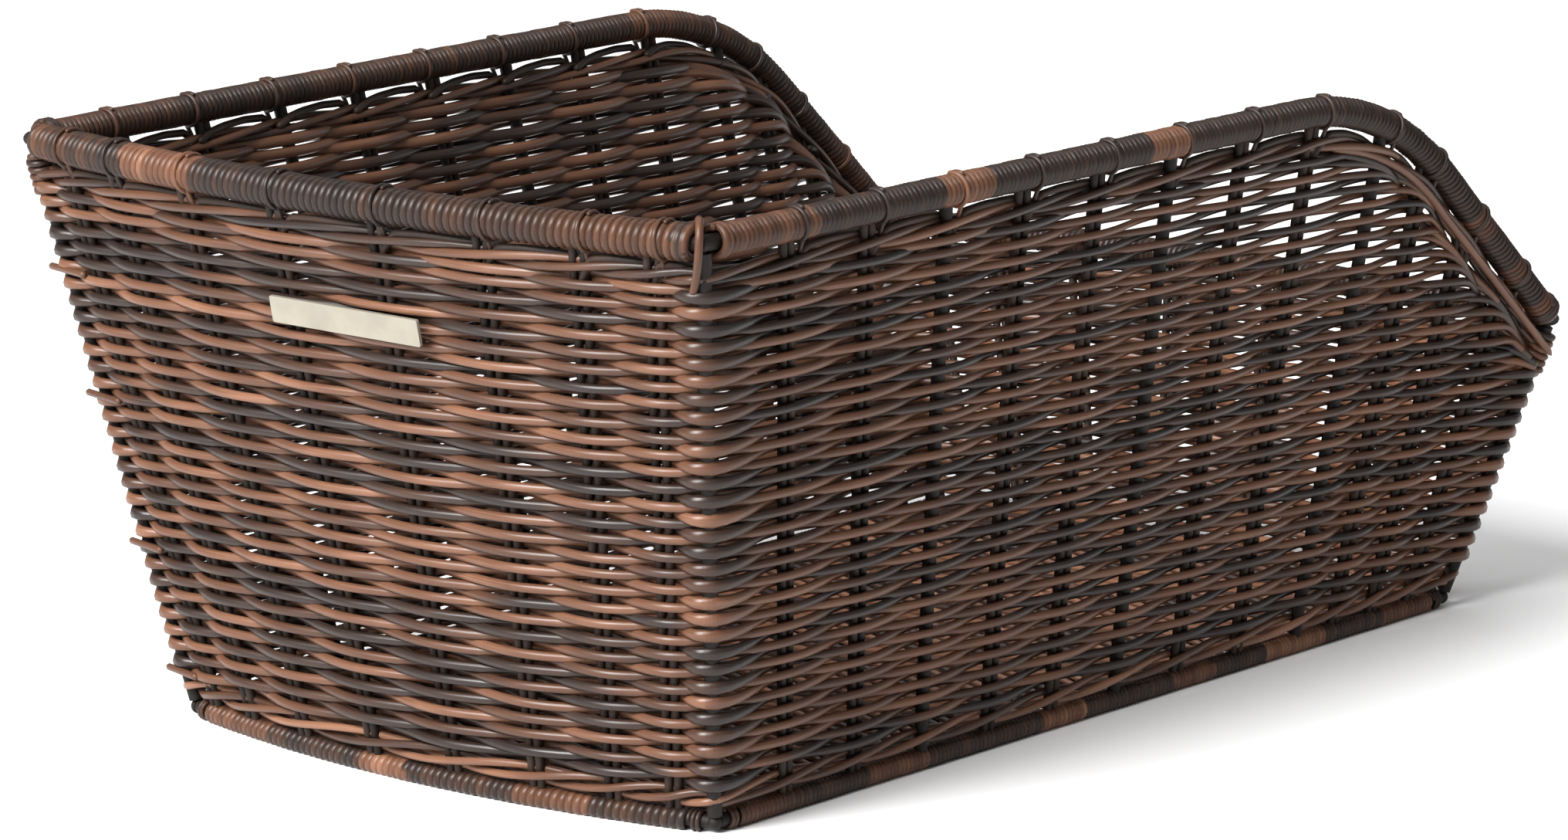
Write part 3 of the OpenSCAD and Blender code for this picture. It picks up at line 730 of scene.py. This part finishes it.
for name, k, pitch in (
        ("right", RIGHT, 2.3), ("front", FRONT, 2.8), ("left", LEFT, 2.3), ("rear", REAR, 3.2)):
    wrap = Strands()
    # Each band's tone is raised by 0.1: painted light that makes up for the shade under the leaning walls
    painted_light_bands = [(share, tone + 0.1) for share, tone in BASE_BANDS[k]]
    wind(wrap, base_line(k), 2.6, BASE_R, pitch, painted_light_bands)
    wrap.make("base_wrap_" + name + "_strand", wrap_material, "wrap", "base_wrap_" + name, floor=True)

# ---- Lashings ----
PAST_STAKE = 5.0                               # how far along the rim from a stake
for name, k in (("right", RIGHT), ("front", FRONT), ("left", LEFT), ("rear", REAR)):
    lash = Strands()
    outer = REAR_R if k == REAR else RIM_R
    run = RIM_RUN if k in (RIGHT, LEFT) else 2*REAR_Y
    for f in stake_shares(k):
        share = f + PAST_STAKE/run
        line = wall_top(k, np.array([share - 0.001, share, share + 0.001]))
        c = line[1]
        t, across, up = (axis[1] for axis in axes_along(line))
        tone = bands_tone(share, RIM_BANDS[k]) + rng.uniform(-0.04, 0.08)
        # One turn round the rim, which moves along it a little
        a = np.linspace(-0.3, 2*math.pi*1.05, 30)
        radial = np.cos(a)[:, None]*up - np.sin(a)[:, None]*across
        ring = c + (outer + 0.1)*radial + np.linspace(-1.3, 1.3, 30)[:, None]*t
        lash.add(ring, radial, 0.9, tone, sides=6)
        # Its end, which dives into the weave
        z = under_rim(k, np.full(8, share), np.linspace(outer - 1.0, outer + RIM_GAP + 2, 8))
        n = outward(k, np.full(8, share), z)
        p = wall_at(k, np.full(8, share), z) + n*np.linspace(3.2, 0.5, 8)[:, None]
        lash.add(p, n, 0.9, tone, sides=6)
    lash.make("lashings_" + name + "_strand", wrap_material, "tie", "lashings_" + name)


# ---- Corner ties ----
def unit(v):
    v = np.array(v, float)
    return v/np.linalg.norm(v)


def spline(points, steps):
    """A smooth line through the points."""
    p = np.array(points, float)
    p = np.vstack([2*p[0] - p[1], p, 2*p[-1] - p[-2]])
    out = []
    for i in range(1, len(p) - 2):
        t = (np.arange(steps)/steps)[:, None]
        a, b, c, d = p[i - 1:i + 3]
        out.append(0.5*(2*b + (c - a)*t + (2*a - 5*b + 4*c - d)*t*t + (3*b - a - 3*c + d)*t**3))
    return np.vstack(out + [p[-2:-1]])


def knot(strands, at, way, r, thick, tone):
    """Two turns round a rod that leaves the corner this way."""
    way = unit(way)
    across = unit(np.cross([0, 0, 1], way))
    up = np.cross(way, across)
    a = np.linspace(0, 2*math.pi*2.2, 40)
    along = np.linspace(5.0, 9.0, 40)
    radial = np.cos(a)[:, None]*up + np.sin(a)[:, None]*across
    strands.add(at + along[:, None]*way + r*radial, radial, thick, tone, sides=6)


def binding(strands, top, foot):
    """Turns round the upper end of a post."""
    core = top + (foot - top)*np.linspace(0.28, 1, 60)[:, None]
    a = np.linspace(0, 2*math.pi*5.5, 60)
    side = unit(np.cross([0, 1, 0], foot - top))
    other = np.cross(side, unit(foot - top))
    radial = np.cos(a)[:, None]*side + np.sin(a)[:, None]*other
    strands.add(core + 4.1*radial, radial, 1.3, 0.45 + 0.2*smooth_noise(60, 12))


def tie_strand(strands, k, at, out, aside):
    """A strand that comes over the corner and goes down into the weave beside it."""
    def on_post(down):
        return wall_at(k, 0.0, at[2] - down)

    line = spline([at - out*3 + aside*0.4 + [0, 0, 6.9], at + out*1.5 + aside*0.5 + [0, 0, 8.0],
                   at + out*6.4 + aside*0.8 + [0, 0, 3.2], at + out*7.0 + aside + [0, 0, -5.0],
                   on_post(12) + out*6.2 + aside*1.25, on_post(17) + out*4.6 + aside*1.5,
                   on_post(20) + out*0.5 + aside*1.7], 8)
    strands.add(line, out, 1.45, 0.64 + 0.1*smooth_noise(len(line), 12))


CORNERS = (("rear_right", RIGHT, REAR), ("front_right", FRONT, RIGHT),
           ("front_left", LEFT, FRONT), ("rear_left", REAR, LEFT))
for name, k, before in CORNERS:
    tie = Strands()
    at = wall_top(k, 0.0)
    ahead = wall_top(k, 0.02) - at
    behind = wall_top(before, 0.98) - at
    knot(tie, at, ahead, 5.0, 1.5, 0.55)
    knot(tie, at, behind, 5.2, 1.7, 0.3)
    if name == "rear_right":
        out = -(unit(ahead) + unit(behind))
        out[2] = 0
        tie_strand(tie, k, at, unit(out), unit(behind)*3.4)
    else:
        binding(tie, at, wall_at(k, 0.0, at[2] - 20))
    tie.make("corner_tie_" + name + "_strand", wrap_material, "tie", "corner_tie_" + name)
foot_ties = Strands()
for name, k, before in CORNERS:
    at = wall_base(k, 0.0)
    knot(foot_ties, at, wall_base(k, 0.02) - at, 3.3, 0.9, 0.4)
    knot(foot_ties, at, wall_base(before, 0.98) - at, 3.3, 0.9, 0.25)
foot_ties.make("base_corner_ties_strand", wrap_material, "tie", "base_corner_ties", floor=True)

# ---- Floor of the basket ----
FLOOR_Z, FLOOR_PITCH, FLOOR_STRAND_R = 2.4, 3.3, 1.25
ribs = [i*2*BASE_Y/10 - BASE_Y for i in range(1, 10)]
floor_stakes = Strands()
for y in ribs:
    x = np.linspace(-BASE_X + BASE_R, BASE_X - BASE_R, 60)
    floor_stakes.add(stack(x, y, FLOOR_Z), [0, 0, 1], 1.3, 0.4 + 0.3*smooth_noise(60, 12))
floor_stakes.make("floor_stakes_strand", stake_material, "stake", "floor_stakes")

# Strands across, over and under the lengthwise stakes in turn
floor = Strands()
edges = [-BASE_Y + 4.5] + ribs + [BASE_Y - 4.5]
for i, x in enumerate(np.arange(-BASE_X + 2, BASE_X, FLOOR_PITCH)):
    y, z = [], []
    for j in range(len(edges) - 1):
        t = np.arange(6)/6
        y += list(edges[j] + (edges[j + 1] - edges[j])*t)
        z += list(np.cos(math.pi*(t + j + i)))
    y, z = np.array(y + [edges[-1]]), np.array(z + [z[0]])
    p = stack(x + 0.3*smooth_noise(len(y), 12), y, FLOOR_Z + 1.9*z)
    floor.add(p, [0, 0, 1], FLOOR_STRAND_R, weave_tone(len(y), 20), sides=6)
# Shorter ones fill the bows of the front and the rear
for way, bow in ((1, FRONT_BOW), (-1, REAR_BOW)):
    for i in range(4):
        y = np.linspace(-BASE_Y + 14 + 12*i, BASE_Y - 14 - 12*i, 60)
        x = way*(BASE_X + sag(y, BASE_Y, bow) - 4.5 - 2.7*i)
        p = stack(x, y, FLOOR_Z + 0.8*np.cos(y*0.12 + i*math.pi))
        floor.add(p, [0, 0, 1], FLOOR_STRAND_R, weave_tone(60, 20), sides=6)
floor.make("weave_floor_strands", strand_material, "weave", "weave_floor", floor=True)


# ---- CAD nodes that stay ----
def coated_steel():
    m, nodes, links, shader = material("coated_steel")
    place = nodes.new("ShaderNodeTexCoord").outputs["Object"]
    speck = noise(nodes, links, place, 700, 4)
    colour_by(nodes, links, shader, speck, [(0.3, (0.006, 0.0045, 0.004)), (0.7, (0.016, 0.012, 0.010))])
    roughness_by(nodes, links, shader, speck, 0.5, 0.7)
    bump_by(nodes, links, shader, speck, 0.2, 0.0002)
    shader.inputs["Specular IOR Level"].default_value = 0.25
    return m


def cream_metal():
    """Brushed lengthwise, with a slight cloudiness."""
    m, nodes, links, shader = material("cream_plate")
    place = nodes.new("ShaderNodeTexCoord").outputs["Object"]
    brushed = noise(nodes, links, stretched(nodes, links, place, (1, 0.06, 1)), 1800, 3)
    cloud = noise(nodes, links, place, 60, 3)
    colour_by(nodes, links, shader, cloud, [(0.3, (0.265, 0.240, 0.190)), (0.7, (0.350, 0.322, 0.260))])
    roughness_by(nodes, links, shader, brushed, 0.3, 0.5)
    bump_by(nodes, links, shader, brushed, 0.15, 0.0001)
    shader.inputs["Metallic"].default_value = 0.4
    return m


steel, cream = coated_steel(), cream_metal()
for node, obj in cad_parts.items():
    if obj.hide_render:
        continue
    obj.data.materials.clear()
    obj.data.materials.append(cream if node.startswith("badge") else steel)


# ---- Floor, light and camera ----
def pale_floor():
    m, nodes, links, shader = material("pale_floor")
    place = nodes.new("ShaderNodeTexCoord").outputs["Object"]
    grain = noise(nodes, links, place, 3, 4)
    colour_by(nodes, links, shader, grain, [(0.3, (0.90, 0.90, 0.90)), (0.7, (0.94, 0.94, 0.94))])
    shader.inputs["Roughness"].default_value = 0.9
    shader.inputs["Specular IOR Level"].default_value = 0.1
    return m


GROUND = 60.0                                  # half its width, in metres
corners = [(-GROUND, -GROUND, 0), (GROUND, -GROUND, 0), (GROUND, GROUND, 0), (-GROUND, GROUND, 0)]
mesh = bpy.data.meshes.new("ground")
mesh.from_pydata(corners, [], [(0, 1, 2, 3)])
ground = bpy.data.objects.new("ground", mesh)
ground.data.materials.append(pale_floor())
bpy.context.scene.collection.objects.link(ground)

world = bpy.data.worlds.new("studio")
bpy.context.scene.world = world
world.use_nodes = True
background = world.node_tree.nodes["Background"]
background.inputs["Color"].default_value = (1, 1, 1, 1)
background.inputs["Strength"].default_value = 0.31
bpy.context.scene.view_settings.view_transform = "Standard"


def aimed(obj, way):
    """Turns a light towards the direction way."""
    obj.rotation_mode = "QUATERNION"
    obj.rotation_quaternion = Vector(way).to_track_quat("-Z", "Y")
    bpy.context.scene.collection.objects.link(obj)


def area_light(name, place, target, size, power):
    data = bpy.data.lights.new(name, "AREA")
    data.size = size
    data.energy = power
    light = bpy.data.objects.new(name, data)
    light.location = place
    aimed(light, Vector(target) - Vector(place))


area_light("key", (-1.9, 0.3, 1.3), (0, 0, 0.1), 1.0, 46)
area_light("top", (0.3, 0.3, 2.4), (0, 0, 0.1), 1.6, 12)
sun = bpy.data.objects.new("sun", bpy.data.lights.new("sun", "SUN"))
sun.data.energy = 4.0
sun.data.angle = math.radians(30)
aimed(sun, (0.74, 0.04, -0.67))

# The camera was fitted to the photo: where it stands, what it looks at and how far it is rolled,
# in millimetres from the middle of the base ring
EYE, AIM, ROLL = (-2039.4, -1738.0, 668.7), (-15.4, 13.1, 91.1), math.radians(-0.364)
camera = bpy.data.objects.new("camera", bpy.data.cameras.new("camera"))
bpy.context.scene.collection.objects.link(camera)
bpy.context.scene.camera = camera
camera.data.lens = 164.69
camera.data.sensor_width = 36
camera.data.clip_start, camera.data.clip_end = 0.05, 100
ring = Vector((CENTRE_X, 0, RING_Z))
eye, aim = (Vector(EYE) + ring)/1000, (Vector(AIM) + ring)/1000
back = (eye - aim).normalized()
right = Vector((0, 0, 1)).cross(back).normalized()
up = back.cross(right)
right, up = right*math.cos(ROLL) + up*math.sin(ROLL), up*math.cos(ROLL) - right*math.sin(ROLL)
camera.matrix_world = Matrix.Translation(eye) @ Matrix((right, up, back)).transposed().to_4x4()
